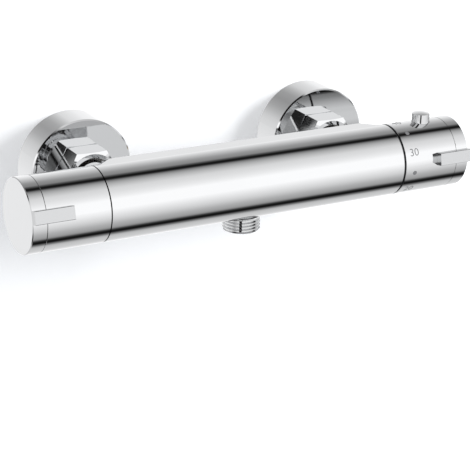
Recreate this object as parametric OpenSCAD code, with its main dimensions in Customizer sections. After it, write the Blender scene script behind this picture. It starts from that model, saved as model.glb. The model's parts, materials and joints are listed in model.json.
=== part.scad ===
// Wall-mounted thermostatic shower bar valve: a horizontal bar with a flow handle on its
// left end and a temperature handle with a stop button on its right end.
// +X runs along the bar to the temperature handle, +Z is up, and the room is towards -Y.
// The origin lies on the wall, midway between the two threaded studs that go into it.

/* [Bar] */
// Diameter of the bar and of both handles
bar_d = 40; // [39:0.5:43]
// Length of the whole bar, over both end caps
bar_len = 265; // [263:1:275]
// Length of each handle with its cap; the fixed body takes the rest of the bar
handle_len = 43.5; // [42.5:0.5:46]
// Distance of the bar's axis from the wall
axis_out = 68; // [67:0.5:72]
// Height of the bar's axis above the wall studs, set by the eccentric connectors
axis_rise = 8; // [6:0.5:9]
// Width of the flat top behind the bar's axis
back_flat = 10; // [8:0.5:11]
// How much lower the back's upper edge is than the flat top
back_drop = 4.6; // [4:0.2:7]
// Length of the bevel at each end of the body's back
end_bevel = 12; // [8:0.5:14]
// Small bevel round each outer edge of the caps
edge_bevel = 0.4; // [0.2:0.1:0.6]

/* [Handles] */
// Gap between the body and the flow handle
flow_seam = 0.5; // [0.4:0.1:0.8]
// Gap between the body and the temperature handle, filled by the glide ring
temperature_seam = 1.5; // [1.2:0.1:1.8]
// Length of each end cap
cap_len = 7.9; // [7:0.1:9]
// Width of the fine joint between a sleeve and its cap
cap_seam = 0.2; // [0.1:0.05:0.3]
// Wall of the handle sleeves
sleeve_wall = 2.4; // [2:0.1:2.6]
// Length of each grip bar
grip_len = 21.5; // [19:0.5:23]
// Width of each grip bar
grip_w = 7; // [6:0.5:8]
// How far a grip bar stands out of the handle
grip_proud = 4; // [3:0.5:5]
// Direction of the flow handle's grip above the front, in degrees
flow_grip_angle = 16; // [0:1:30]
// Direction of the temperature handle's grip above the front, in degrees
temperature_grip_angle = 10; // [0:1:20]
// Diameter of the stop button
button_d = 10; // [9:0.5:10]
// Height of the stop button over the handle, without its dome
button_proud = 4.6; // [4:0.2:5.4]
// Rise of the button's domed top
button_dome = 0.8; // [0.6:0.1:1]

/* [Inlets] */
// Radius of the connector's wall thread, G 1/2
stud_r = 10.48; // [10.2:0.02:10.6]
// Length of the connector's wall thread
stud_len = 16; // [12:1:20]
// Diameter of each wall flange
flange_d = 59; // [57:0.5:62]
// Depth of each wall flange
flange_depth = 19.4; // [19:0.2:20]
// Wall of each flange
flange_wall = 1.2; // [1:0.1:1.5]
// Rounding bevel at the rim of each flange
flange_edge = 0.7; // [0.4:0.1:0.9]
// Size of the union nut across its flats
nut_af = 30; // [29.5:0.5:31]
// Wall of the union nut outside its G 3/4 thread, at the flats
nut_wall = 1.78; // [1.7:0.02:2]
// Length of the union nut
nut_len = 13.6; // [13.2:0.1:14.4]

/* [Outlet] */
// Radius of the hose thread, G 1/2
outlet_r = 10.48; // [10.2:0.02:10.6]
// Length of the hose thread below the bar
outlet_len = 8.9; // [8:0.1:11]
// Distance of the outlet behind the bar's axis
outlet_back = 5; // [4.5:0.5:6]
// Radius of the outlet's waterway
outlet_bore_r = 6.5; // [6:0.1:7]

/* [Thermostat] */
// Turn of the temperature handle from its stop to fully cold, in degrees
temperature_turn = 123; // [100:1:130]
// Outer radius of the cartridge
cartridge_r = 12.4; // [12.2:0.1:12.4]
// Radius of the regulating spindle
spindle_r = 5; // [4.8:0.1:5]
// Stroke left free between the shuttle and each seat
shuttle_gap = 1.2; // [1.1:0.05:1.4]
// Radius of the wax element's bulb
bulb_r = 4; // [3.6:0.1:4]

/* [Flow valve] */
// Turn of the flow handle from closed to open, in degrees
flow_turn = 90; // [80:1:90]
// Thread radius of the ceramic headwork
headwork_r = 12; // [11.7:0.1:12]
// Radius of the turning ceramic disc
disc_r = 7.4; // [7:0.1:7.4]
// Thickness of each ceramic disc
disc_t = 3; // [2.6:0.1:3]

/* [Hidden] */
$fn = 96;
cut = 1;            // overrun of every cut
fit = 0.05;         // radial clearance of a seated or turning fit
ease = 0.1;         // radial clearance of a loose guide
part_gap = 0.3;     // clearance between pieces that pass each other
draft_gap = 0.8;    // clearance of a sleeve over a spigot

bar_r = bar_d / 2;
body_len = bar_len - 2 * handle_len;
body_half = body_len / 2;
sleeve_r = bar_r - sleeve_wall;
back_depth = bar_r;  // the body's flat back touches the bar's rear

// The bar's end, seen from the body's end face outwards
cap_from = handle_len - cap_len;
sleeve_to = cap_from - cap_seam;
web_t = 2.4;
pocket_len = 4.6;
web_to = sleeve_to - pocket_len;
web_from = web_to - web_t;
hub_r = 8;
hub_gap = 2.5;      // from the headwork's neck to the hub
headwork_neck_to = 10;
hub_from = headwork_neck_to + hub_gap;
spline_teeth = 20;
spline_depth = 0.6;
spline_w = 0.7;
spline_end_gap = 2.1;
screw_r = 1.95;
screw_head_r = 3.5;
screw_head_t = 2.5;
screw_len = 10.5;
screw_socket_r = 1.5;
screw_socket_depth = 1.4;

// Spigots on the body's ends
spigot_len = 3;
spigot_r = sleeve_r - draft_gap;
back_shave = fit;   // keeps the flat top just under the bar's crown

// Inlets, measured from the wall outwards
union_r = nut_af / 2 - nut_wall;
nut_lip = 1.22;
tail_r = union_r - nut_lip;
block_from = 1;
block_len = 8;
block_lip = 0.28;
block_r = union_r + block_lip;
connector_wall = 4.72;
connector_bore_r = union_r - connector_wall;
stud_wall = 2.98;
stud_bore_r = stud_r - stud_wall;
nut_from = flange_depth + fit;
nut_to = nut_from + nut_len;
nut_shoulder = 2.5;
nut_face_share = 0.953;
nut_bevel = 1.2;
collar_t = 2;
collar_r = union_r - ease;
collar_from = nut_to - nut_shoulder - collar_t;
gasket_t = 1.6;
strainer_rim_t = 0.4;
strainer_wall = 0.5;
strainer_len = 8;
strainer_hole_r = 0.8;
strainer_holes = 12;
strainer_rows = 2;
connector_to = collar_from - gasket_t - strainer_rim_t;
back_from = axis_out - back_depth;
tail_step = 1.5;
tail_thread_r = tail_r - tail_step;
head_thread_r = 14;  // the cartridge's thread, which the inlets stay clear of
tail_cover = 1.2;
tail_thread_len = back_depth - head_thread_r - tail_cover;
socket_play = 0.2;
socket_len = tail_thread_len + socket_play;
socket_wall = 2.6;
end_land = 0.9;
inlet_pitch = body_len - 2 * (tail_thread_r + socket_wall + end_land);
flange_collar_len = 6;
tail_ring_r = 0.9;
tail_ring_share = 0.375;
tail_ring_at = back_from + tail_thread_len * tail_ring_share;
tail_wall = 2.9;
tail_foot_t = 3;
neck_gap = 1.2;     // dark gap seen between the nut's lip and the tail's neck
check_r = tail_r - tail_wall;
check_step = 2.5;
check_wall = 1.5;
seat_t = 2;
seat_land = 3.6;
seat_hole_r = check_r - seat_land;
seat_lap = 1.3;
poppet_r = seat_hole_r + seat_lap;
poppet_t = 1.6;
stem_r = 1.5;
hub_t = 2;
guide_r = 3.2;
arm_w = 1.6;
check_from = collar_from + part_gap;
check_to = back_from - check_step;
check_spring_r = 2.3;
check_wire_r = 0.3;
check_turns = 5;

// Outlet
nipple_shank_r = 9;
nipple_shank_len = 4.2;
nipple_socket_top = 8;  // below the bar's axis
outlet_boss_r = 11.8;
outlet_ring_r = 0.8;
outlet_flat = bar_r - back_shave;

// Waterways inside the body
core_r = 7;
hot_way_r = 3.5;
hot_way_back = 13.5;
hot_way_up = 11.5;
mixed_way_r = 3.5;
mixed_way_down = 12.5;
mixed_way_in = 5;
cold_way_r = 3.8;
hot_port_r = 2.6;
hot_port_low = 4;
hot_port_in = 4;
hot_port_back = 14.3;
way_end = 3;

// Thermostatic cartridge, measured from the body's right end face; inside is negative
head_thread_len = 9.5;
head_hex_af = 24;
head_hex_t = 5;
head_neck_r = 8.5;
head_neck_to = 8.6;
head_wall = 2.9;
skirt_len = 9.5;
skirt_wall = 1.95;
seat_ring_t = 2;
nut_guide_r = 8.05;
skirt_from = -head_thread_len - skirt_len;
sleeve_len = 32;
sleeve_from = skirt_from - sleeve_len;
cartridge_bore_r = cartridge_r + ease;
land_drop = 1.1;
shuttle_bore_r = 10.5;
shuttle_wall = 2;
shuttle_len = 14.6;
shuttle_to = skirt_from - shuttle_gap;
shuttle_from = shuttle_to - shuttle_len;
hot_seat_to = shuttle_from - shuttle_gap;
hot_seat_t = 2;
hot_seat_r = 8.6;
spring_room_r = 9.6;
end_wall_t = 2;
end_hole_r = 5.6;
window_len = 3;
window_w = 7;
windows = 6;
hot_zone_len = 8;
cold_zone_len = 8;
hot_zone_from = hot_seat_to + window_len / 2 - hot_zone_len / 2 - fit;
o_ring_w = 1.8;
o_ring_squash = 1.2;
shuttle_hub_t = 2.5;
shuttle_hub_r = 6.2;
shuttle_hub_in = 1.8;
shuttle_hub_from = shuttle_from + shuttle_hub_in;
element_seat = shuttle_hub_from + shuttle_hub_t;
arm_t = 2.6;
arms = 4;
bulb_len = 15;
flange_t = 2;
element_flange_r = 5.8;
guide_len = 3.5;
element_guide_r = 3;
piston_r = 1.5;
piston_in = 4.4;
piston_room = 0.8;
nut_outer_r = nut_guide_r - ease;
cup_wall = 1.85;
nut_from_end = -19.5;
nut_to_end = -6;
nut_thread_len = 4;
thread_play = 0.9;
plunger_t = 1.6;
plunger_gap = 1.9;
key_w = 2.8;
key_reach = 1.1;
key_from_end = -17;
key_len = 5.5;
overload_wire_r = 0.5;
overload_turns = 3;
return_turns = 5;
return_wire_r = 0.65;
spindle_collar_r = 7.4;
spindle_collar_t = 1.7;

// Stop ring and stop button
stop_ring_from = head_hex_t + ease;
stop_ring_to = head_neck_to - fit;
stop_ring_gap = 1.2;
stop_ring_r = sleeve_r - stop_ring_gap;
tab_turn = 33;
end_tab_r = 9.6;
override_turn = 82;
button_inset = 0.6;
button_at = web_from - button_d / 2 - button_inset;
tab_share = 0.43;
tab_len = (button_at - button_d / 2 - stop_ring_to) * tab_share;
button_hole_r = button_d / 2 + part_gap / 2;
tongue_w = 5;
tongue_t = 2.6;
tongue_drop = 3.1;
tongue_low = sleeve_r - tongue_drop;
override_tab_r = tongue_low + ease;
tongue_end_gap = 1.2;
tongue_from = stop_ring_to + tongue_end_gap;
half_turn = 180;
button_turn = half_turn;  // the top, where the stop button is
button_spring_r = 2.9;
button_wire_r = 0.3;
button_turns = 6;
button_well_r = 3.7;
button_well_depth = 3.5;
button_well_top = tongue_low + button_well_depth;
dome_r = (pow(button_d / 2, 2) + pow(button_dome, 2)) / (2 * button_dome);

// Ceramic headwork, measured from the body's left end face; inside is negative
headwork_thread_len = 13;
headwork_room_r = 11.4;
headwork_room_len = 33;
headwork_hex_af = 26;
headwork_gasket_t = 1;
headwork_hex_t = 4.2;
headwork_hex_from = spigot_len + headwork_gasket_t;
headwork_neck_r = 7;
flow_spindle_r = 4;
barrel_r = 9.9;
barrel_to = -30.5;
disc_room_r = disc_r + ease;
stop_room_from = -9;
stop_block_r = 5;
stop_room_len = 2.5;
driver_t = 1.3;
driver_to = -23.4;
dog_depth = 1;
dog_w = 3;
dog_in_r = 4.2;
disc_split = driver_to - disc_t;
fixed_to = disc_split - disc_t;
side_window_len = 4;
side_window_gap = 0.6;
window_from = driver_to + driver_t + side_window_gap;
circlip_t = 0.5;
circlip_groove = 0.5;
circlip_r = 5.6;
circlip_turn = 300;
circlip_from_turn = 120;
stop_from_turn = 45;
stop_block_turn = 90;
stop_clear_turn = 1;
lug_turn = 360 - stop_block_turn - flow_turn - 2 * stop_clear_turn;
port_turn = 80;
port_in_r = 2.2;
port_out_r = 6.2;
driver_w = 4.6;

// Frames

module bar() translate([0, -axis_out, axis_rise]) children();

// Local +z runs outwards from the body's end face along the bar
module end_frame(side) bar() mirror([side < 0 ? 1 : 0, 0, 0])
  translate([body_half, 0, 0]) rotate([0, 90, 0]) children();

// Local +z runs from the bar's axis outwards, at a dial angle above the front
module toward(dial, along) translate([0, 0, along]) rotate([0, 0, -(90 + dial)])
  rotate([0, 90, 0]) children();

// Local +z runs out from the wall along one inlet
module inlet_frame(side) translate([side * inlet_pitch / 2, 0, axis_rise])
  rotate([90, 0, 0]) children();

// Shapes used by several pieces

module tube(r_out, r_in, from, to) translate([0, 0, from]) difference() {
  cylinder(r = r_out, h = to - from);
  translate([0, 0, -cut]) cylinder(r = r_in, h = to - from + 2 * cut);
}

module rod(r, from, to) translate([0, 0, from]) cylinder(r = r, h = to - from);

module revolve(points) rotate_extrude() polygon(points);

module sector(r_in, r_out, from, to, start, turn) translate([0, 0, from])
  rotate_extrude(angle = turn, start = start)
    translate([r_in, 0]) square([r_out - r_in, to - from]);

module hexagon(across_flats, from, to) translate([0, 0, from])
  cylinder(r = across_flats / sqrt(3), h = to - from, $fn = 6);

module o_ring(inner_r, section_r, at) translate([0, 0, at])
  rotate_extrude() translate([inner_r + section_r, 0]) circle(r = section_r, $fn = 32);

module spline(tip_r, clearance, from, to) translate([0, 0, from])
  linear_extrude(to - from) union() {
    circle(r = tip_r - spline_depth + clearance);
    for (i = [0:spline_teeth - 1]) rotate(i * 360 / spline_teeth)
      translate([0, -spline_w / 2 - clearance])
        square([tip_r + clearance, spline_w + 2 * clearance]);
  }

// A coil spring along z, as one swept wire
function coil_ring(r, wire, z, turn, sides) = [
  for (s = [0:sides - 1])
    let (a = s * 360 / sides, out = r + wire * cos(a))
      [out * cos(turn), out * sin(turn), z + wire * sin(a)]
];
function coil_points(r, wire, from, to, turns, steps, sides) = [
  for (i = [0:steps])
    each coil_ring(r, wire, from + wire + (to - from - 2 * wire) * i / steps,
                   360 * turns * i / steps, sides)
];
function coil_faces(steps, sides) = concat(
  [[for (s = [0:sides - 1]) s]],
  [for (i = [0:steps - 1], s = [0:sides - 1])
    let (a = i * sides + s, b = i * sides + (s + 1) % sides)
      [a, a + sides, b + sides, b]],
  [[for (s = [sides - 1:-1:0]) steps * sides + s]]
);
module coil(r, wire, from, to, turns, turn_steps = 14, sides = 6) {
  steps = turns * turn_steps;
  polyhedron(coil_points(r, wire, from, to, turns, steps, sides), coil_faces(steps, sides));
}

// Body

module back_block() bar() difference() {
  rotate([90, 0, 90]) translate([0, 0, -body_half]) linear_extrude(body_len)
    polygon([
      [0, outlet_flat], [back_flat, outlet_flat], [back_depth, outlet_flat - back_drop],
      [back_depth, back_drop - outlet_flat], [back_flat, -outlet_flat], [0, -outlet_flat]
    ]);
  for (side = [0, 1]) mirror([side, 0, 0]) translate([0, 0, -bar_d])
    linear_extrude(2 * bar_d) polygon([
      [body_half, 0], [body_half + cut, -cut], [body_half + cut, back_depth + cut],
      [body_half - end_bevel, back_depth + cut], [body_half - end_bevel, back_flat]
    ]);
}

module outlet_boss() bar() translate([0, outlet_back, -outlet_flat]) intersection() {
  rod(outlet_boss_r, 0, bar_r / 2);
  translate([-outlet_boss_r, 0, 0]) cube([2 * outlet_boss_r, outlet_boss_r, bar_r]);
}

module waterways() {
  bar() rotate([0, 90, 0]) rod(core_r, -body_half + headwork_room_len, body_half + sleeve_from);
  bar() translate([0, hot_way_back, hot_way_up]) rotate([0, 90, 0])
    rod(hot_way_r, -inlet_pitch / 2 + hot_port_in - way_end,
        body_half + hot_zone_from + hot_zone_len / 2 + way_end);
  bar() translate([hot_port_in - inlet_pitch / 2, hot_port_back, 0])
    rod(hot_port_r, hot_port_low, hot_way_up);
  end_frame(1) toward(half_turn - atan(hot_way_up / hot_way_back), hot_zone_from + hot_zone_len / 2)
    rod(hot_port_r, cartridge_r - cut, norm([hot_way_back, hot_way_up]));
  bar() translate([0, outlet_back, -mixed_way_down]) rotate([0, 90, 0])
    rod(mixed_way_r, -body_half + headwork_thread_len + mixed_way_in, 0);
  inlet_frame(1) rod(cold_way_r, back_from + socket_len - cut, axis_out - cartridge_r + cut);
  for (side = [-1, 1]) inlet_frame(side)
    rod(tail_thread_r + fit, back_from - cut, back_from + socket_len);
}

module valve_body() color("silver") difference() {
  union() {
    bar() rotate([0, 90, 0]) rod(bar_r, -body_half, body_half);
    back_block();
    for (side = [-1, 1]) end_frame(side) rod(spigot_r, -cut, spigot_len);
    outlet_boss();
    for (side = [-1, 1]) inlet_frame(side)
      rod(tail_thread_r + socket_wall, back_from, axis_out);
  }
  end_frame(-1) {
    rod(headwork_r + fit, -headwork_thread_len, spigot_len + cut);
    rod(headwork_room_r, -headwork_room_len, -headwork_thread_len + cut);
  }
  end_frame(1) {
    rod(head_thread_r + fit, -head_thread_len, spigot_len + cut);
    rod(cartridge_bore_r, sleeve_from - fit, -head_thread_len + cut);
  }
  waterways();
  bar() translate([0, outlet_back, -bar_r]) rod(nipple_shank_r + fit, -cut, bar_r - nipple_socket_top);
}

// Outlet

module outlet_nipple() color("silver") bar() translate([0, outlet_back, -bar_r])
  difference() {
    union() {
      rod(outlet_r, -outlet_len, -fit);
      rod(nipple_shank_r, -fit - cut, nipple_shank_len);
    }
    rod(outlet_bore_r, -outlet_len - cut, nipple_shank_len + cut);
    translate([0, 0, nipple_shank_len - 2 * outlet_ring_r])
      tube(nipple_shank_r + cut, nipple_shank_r - outlet_ring_r, -outlet_ring_r, outlet_ring_r);
  }

module outlet_o_ring() color("black") bar() translate([0, outlet_back, -bar_r])
  o_ring(nipple_shank_r - outlet_ring_r + fit / 2, (outlet_ring_r - fit) / 2,
         nipple_shank_len - 2 * outlet_ring_r);

// Wall side

module eccentric_connector(side) color("silver") inlet_frame(side) difference() {
  union() {
    translate([0, -axis_rise, 0]) rod(stud_r, -stud_len, block_from);
    translate([0, -axis_rise, 0]) rod(block_r, block_from, block_from + block_len);
    translate([-block_r, -axis_rise, block_from]) cube([2 * block_r, axis_rise, block_len]);
    rod(block_r, block_from, block_from + block_len);
    rod(union_r, block_from + block_len - cut, connector_to);
  }
  translate([0, -axis_rise, 0]) rod(stud_bore_r, -stud_len - cut, block_from + block_len / 2);
  rod(connector_bore_r, block_from + block_len / 4, connector_to + cut);
}

module wall_flange(side) color("silver") inlet_frame(side) revolve([
  [flange_d / 2 - flange_wall, 0], [flange_d / 2, 0],
  [flange_d / 2, flange_depth - flange_edge], [flange_d / 2 - flange_edge, flange_depth],
  [union_r + part_gap, flange_depth], [union_r + part_gap, flange_depth - flange_collar_len],
  [union_r + part_gap + flange_wall, flange_depth - flange_collar_len],
  [union_r + part_gap + flange_wall, flange_depth - flange_wall],
  [flange_d / 2 - flange_wall, flange_depth - flange_wall]
]);

module union_nut(side) color("silver") inlet_frame(side) difference() {
  intersection() {
    hexagon(nut_af, nut_from, nut_to);
    revolve([
      [0, nut_from], [nut_af / 2 * nut_face_share, nut_from],
      [nut_af / sqrt(3), nut_from + nut_bevel], [nut_af / sqrt(3), nut_to - nut_bevel],
      [nut_af / 2 * nut_face_share, nut_to], [0, nut_to]
    ]);
  }
  rod(union_r + fit, nut_from - cut, nut_to - nut_shoulder);
  rod(tail_r + ease, nut_from, nut_to + cut);
}

module union_gasket(side) color("dimgray") inlet_frame(side)
  tube(collar_r, check_r + ease, connector_to + strainer_rim_t, collar_from);

module inlet_strainer(side) color("gray") inlet_frame(side) difference() {
  union() {
    rod(connector_bore_r - part_gap, connector_to - strainer_len, connector_to + fit);
    rod(collar_r - strainer_rim_t, connector_to, connector_to + strainer_rim_t);
  }
  rod(connector_bore_r - part_gap - strainer_wall,
      connector_to - strainer_len + strainer_wall, connector_to + strainer_rim_t + cut);
  for (row = [0:strainer_rows - 1], i = [0:strainer_holes - 1])
    translate([0, 0, connector_to - strainer_len + strainer_len * (row + 1) / (strainer_rows + 1)])
      rotate([0, 90, (i + row / 2) * 360 / strainer_holes])
        translate([0, 0, connector_bore_r / 2]) cylinder(r = strainer_hole_r, h = connector_bore_r);
  for (i = [0:strainer_holes / 2 - 1]) rotate(i * 720 / strainer_holes)
    translate([connector_bore_r / 2, 0, connector_to - strainer_len - cut])
      cylinder(r = strainer_hole_r, h = strainer_wall + 2 * cut);
}

module inlet_tail(side) color("silver") inlet_frame(side) difference() {
  union() {
    rod(collar_r, collar_from, collar_from + collar_t);
    rod(tail_r - neck_gap, collar_from + collar_t - fit, back_from - fit);
    rod(tail_r, back_from - tail_foot_t, back_from - fit);
    rod(tail_thread_r, back_from - cut, back_from + tail_thread_len);
  }
  rod(check_r + fit, collar_from - cut, check_to + fit);
  rod(check_r - check_wall, check_to - cut, back_from + tail_thread_len + cut);
  translate([0, 0, tail_ring_at])
    tube(tail_thread_r + cut, tail_thread_r - tail_ring_r, -tail_ring_r, tail_ring_r);
}

module tail_o_ring(side) color("black") inlet_frame(side)
  o_ring(tail_thread_r - tail_ring_r + fit / 2, (tail_ring_r - fit) / 2, tail_ring_at);

module check_housing(side) color("whitesmoke") inlet_frame(side) {
  difference() {
    rod(check_r, check_from, check_to);
    rod(seat_hole_r, check_from - cut, check_to + cut);
    rod(check_r - check_wall, check_from + seat_t, check_to - hub_t);
    difference() {
      rod(check_r - check_wall, check_to - hub_t - cut, check_to + cut);
      rod(guide_r, check_to - hub_t - 2 * cut, check_to + 2 * cut);
      for (i = [0:2]) rotate(i * 120 + 90)
        translate([0, -arm_w / 2, check_to - hub_t - 2 * cut])
          cube([check_r, arm_w, hub_t + 4 * cut]);
    }
  }
  difference() {
    union() {
      rod(guide_r, check_to - hub_t, check_to);
      for (i = [0:2]) rotate(i * 120 + 90)
        translate([0, -arm_w / 2, check_to - hub_t])
          cube([check_r - check_wall + fit, arm_w, hub_t]);
    }
    rod(stem_r + fit, check_to - hub_t - cut, check_to + cut);
  }
}

module check_poppet(side) color("orangered") inlet_frame(side)
  revolve([
    [0, check_from + seat_t + fit], [poppet_r, check_from + seat_t + fit],
    [poppet_r, check_from + seat_t + poppet_t], [stem_r, check_from + seat_t + poppet_t],
    [stem_r, check_to + fit], [0, check_to + fit]
  ]);

module check_spring(side) color("lightsteelblue") inlet_frame(side)
  coil(check_spring_r, check_wire_r,
       check_from + seat_t + poppet_t + fit, check_to - hub_t - fit, check_turns);

// Handles

module grip_pin(along, angle, r, low_r, high_r) toward(angle, along) rod(r, low_r, high_r);

module handle_sleeve(seam, hub_spline_r, grip_angle) difference() {
  union() {
    revolve([
      [sleeve_r, seam], [bar_r - edge_bevel / 2, seam], [bar_r, seam + edge_bevel / 2],
      [bar_r, sleeve_to - edge_bevel / 4], [bar_r - edge_bevel / 4, sleeve_to],
      [sleeve_r, sleeve_to]
    ]);
    rod(sleeve_r + fit, web_from, web_to);
    rod(hub_r, hub_from, web_from + fit);
  }
  spline(hub_spline_r, fit, hub_from - cut, web_from - spline_end_gap + part_gap);
  rod(screw_r + ease, hub_from, web_to + cut);
  grip_pin(web_from - grip_w / 2, grip_angle, screw_r + fit, sleeve_r - cut, bar_r + cut);
}

module handle_cap(grip_angle) difference() {
  revolve([
    [0, handle_len - sleeve_wall], [sleeve_r - sleeve_wall, handle_len - sleeve_wall],
    [sleeve_r - sleeve_wall, web_to + part_gap], [sleeve_r - ease, web_to + part_gap],
    [sleeve_r - ease, cap_from], [bar_r - edge_bevel / 4, cap_from],
    [bar_r, cap_from + edge_bevel / 4], [bar_r, handle_len - edge_bevel],
    [bar_r - edge_bevel, handle_len], [0, handle_len]
  ]);
  translate([0, 0, web_to + pocket_len / 2]) tube(bar_r, sleeve_r - ease - o_ring_squash,
    -o_ring_squash / 2, o_ring_squash / 2);
  grip_pin(handle_len - grip_w / 2, grip_angle, screw_r + fit,
           sleeve_r - sleeve_wall - cut, bar_r + cut);
}

module cap_ring() o_ring(sleeve_r - ease - o_ring_squash + fit, (o_ring_squash - fit) / 2,
                         web_to + pocket_len / 2);

module handle_grip(grip_angle) union() {
  difference() {
    toward(grip_angle, handle_len) translate([0, -grip_w / 2, 0])
      cube([grip_len, grip_w, bar_r + grip_proud]);
    rod(bar_r + fit, 0, handle_len + cut);
    toward(grip_angle, handle_len)
      for (side = [0, 1]) mirror([0, side, 0])
        translate([-cut, grip_w / 2 - edge_bevel / 2, bar_r + grip_proud])
          rotate([-45, 0, 0]) cube([grip_len + 2 * cut, edge_bevel * 2, edge_bevel * 2]);
  }
  grip_pin(web_from - grip_w / 2, grip_angle, screw_r, sleeve_r + part_gap, bar_r + cut);
  grip_pin(handle_len - grip_w / 2, grip_angle, screw_r, sleeve_r + part_gap, bar_r + cut);
}

module handle_screw() difference() {
  union() {
    rod(screw_r, web_to - screw_len, web_to + fit);
    rod(screw_head_r, web_to + fit, web_to + screw_head_t);
  }
  translate([0, 0, web_to + screw_head_t - screw_socket_depth])
    cylinder(r = screw_socket_r, h = screw_socket_depth + cut, $fn = 6);
}

module flow_handle_sleeve() color("silver") end_frame(-1)
  handle_sleeve(flow_seam, flow_spindle_r, flow_grip_angle);
module flow_handle_cap() color("silver") end_frame(-1) handle_cap(flow_grip_angle);
module flow_handle_grip() color("gainsboro") end_frame(-1) handle_grip(flow_grip_angle);
module flow_handle_screw() color("gray") end_frame(-1) handle_screw();
module flow_cap_ring() color("black") end_frame(-1) cap_ring();

module temperature_handle_sleeve() color("silver") end_frame(1) difference() {
  handle_sleeve(temperature_seam, spindle_r, temperature_grip_angle);
  toward(90, button_at) rod(button_hole_r, sleeve_r - cut, bar_r + cut);
}
module temperature_handle_cap() color("silver") end_frame(1) handle_cap(temperature_grip_angle);
module temperature_handle_grip() color("gainsboro") end_frame(1)
  handle_grip(temperature_grip_angle);
module temperature_handle_screw() color("gray") end_frame(1) handle_screw();
module temperature_cap_ring() color("black") end_frame(1) cap_ring();
module temperature_glide_ring() color("black") end_frame(1)
  tube(bar_r - draft_gap, spigot_r + fit, fit, temperature_seam - part_gap);

// Stop button and its ring

// A tab of the stop ring, with its face cut flat beside the tongue that comes to rest on it
module stop_tab(low_r, tongue_at, start) difference() {
  sector(low_r, stop_ring_r - ease, stop_ring_to - fit, stop_ring_to + tab_len, start, tab_turn);
  rotate(tongue_at) translate([0, -tongue_w / 2 - part_gap, stop_ring_to - cut])
    cube([bar_r, tongue_w + 2 * part_gap, tab_len + 2 * cut]);
}

module temperature_stop_ring() color("dimgray") end_frame(1) union() {
  tube(stop_ring_r, head_neck_r + fit, stop_ring_from, stop_ring_to);
  stop_tab(override_tab_r, button_turn, button_turn);
  stop_tab(end_tab_r, button_turn + override_turn, button_turn + override_turn);
  stop_tab(end_tab_r, button_turn - temperature_turn, button_turn - temperature_turn - tab_turn);
}

module stop_button() color("silver") end_frame(1) toward(90, button_at) difference() {
  union() {
    rod(button_d / 2, tongue_low + tongue_t, bar_r + button_proud);
    intersection() {
      translate([0, 0, bar_r + button_proud + button_dome - dome_r]) sphere(r = dome_r);
      rod(button_d / 2, bar_r + button_proud - fit, bar_r + button_proud + 2 * button_dome);
    }
    rod(button_d / 2, tongue_low, tongue_low + tongue_t + fit);
    translate([0, -tongue_w / 2, tongue_low])
      cube([button_at - tongue_from, tongue_w, tongue_t]);
  }
  rod(button_well_r, tongue_low - cut, button_well_top);
}

module stop_button_spring() color("lightsteelblue") end_frame(1) toward(90, button_at)
  coil(button_spring_r, button_wire_r, hub_r + fit, button_well_top - fit, button_turns);

// Thermostatic cartridge

module cartridge_head() color("goldenrod") end_frame(1) difference() {
  union() {
    rod(head_thread_r, -head_thread_len, 0);
    hexagon(head_hex_af, -fit, head_hex_t);
    rod(head_neck_r, head_hex_t - fit, head_neck_to);
    rod(nut_guide_r + skirt_wall, skirt_from, fit - head_thread_len);
    rod(cartridge_r - land_drop, skirt_from, skirt_from + seat_ring_t);
  }
  rod(nut_guide_r, skirt_from - cut, -head_wall);
  rod(spindle_r + fit, -head_wall - cut, head_neck_to + cut);
  intersection() {
    rod(nut_outer_r + key_reach + ease, skirt_from - cut, -head_thread_len);
    translate([-key_w / 2 - ease, -bar_r, skirt_from - cut])
      cube([key_w + 2 * ease, bar_d, skirt_len + cut]);
  }
  translate([0, 0, -head_thread_len / 2])
    tube(head_thread_r + cut, head_thread_r - o_ring_squash, -o_ring_w / 2, o_ring_w / 2);
}

module cartridge_sleeve() color("goldenrod") end_frame(1) difference() {
  rod(cartridge_r, sleeve_from, skirt_from - fit);
  rod(end_hole_r, sleeve_from - cut, skirt_from);
  rod(spring_room_r, sleeve_from + end_wall_t, hot_seat_to - hot_seat_t);
  rod(hot_seat_r, sleeve_from + end_wall_t, hot_seat_to + fit);
  rod(shuttle_bore_r, hot_seat_to, skirt_from + cut);
  tube(cartridge_r + cut, cartridge_r - land_drop, hot_zone_from, hot_zone_from + hot_zone_len);
  tube(cartridge_r + cut, cartridge_r - land_drop, skirt_from - cold_zone_len, skirt_from + cut);
  for (at = sleeve_ring_places) translate([0, 0, at])
    tube(cartridge_r + cut, cartridge_r - o_ring_squash, -o_ring_w / 2, o_ring_w / 2);
  for (from = [hot_seat_to + fit, skirt_from - window_len - part_gap], i = [0:windows / 2 - 1])
    rotate(i * 360 / windows) translate([-bar_r, -window_w / 2, from])
      cube([bar_d, window_w, window_len - ease]);
}
sleeve_ring_places = [
  (sleeve_from + hot_zone_from) / 2,
  (hot_zone_from + hot_zone_len + skirt_from - cold_zone_len) / 2
];

module cartridge_o_rings() color("black") end_frame(1) {
  for (at = sleeve_ring_places)
    o_ring(cartridge_r - o_ring_squash + fit / 2, o_ring_squash / 2, at);
  o_ring(head_thread_r - o_ring_squash + fit / 2, (o_ring_squash - fit) / 2,
         -head_thread_len / 2);
}

module regulating_spindle() color("goldenrod") end_frame(1) difference() {
  union() {
    rod(spindle_r, nut_to_end - nut_thread_len + thread_play, hub_from - part_gap);
    rod(spindle_collar_r, -head_wall - fit - spindle_collar_t, -head_wall - fit);
    spline(spindle_r, 0, hub_from - part_gap - fit, web_from - spline_end_gap);
  }
  rod(screw_r + fit, web_to - screw_len - cut, web_from);
  translate([0, 0, head_neck_to / 2])
    tube(spindle_r + cut, spindle_r - 2 * spline_depth, -spline_depth, spline_depth);
}

module spindle_o_ring() color("black") end_frame(1)
  o_ring(spindle_r - 2 * spline_depth + fit / 2, spline_depth - fit / 2, head_neck_to / 2);

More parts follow.
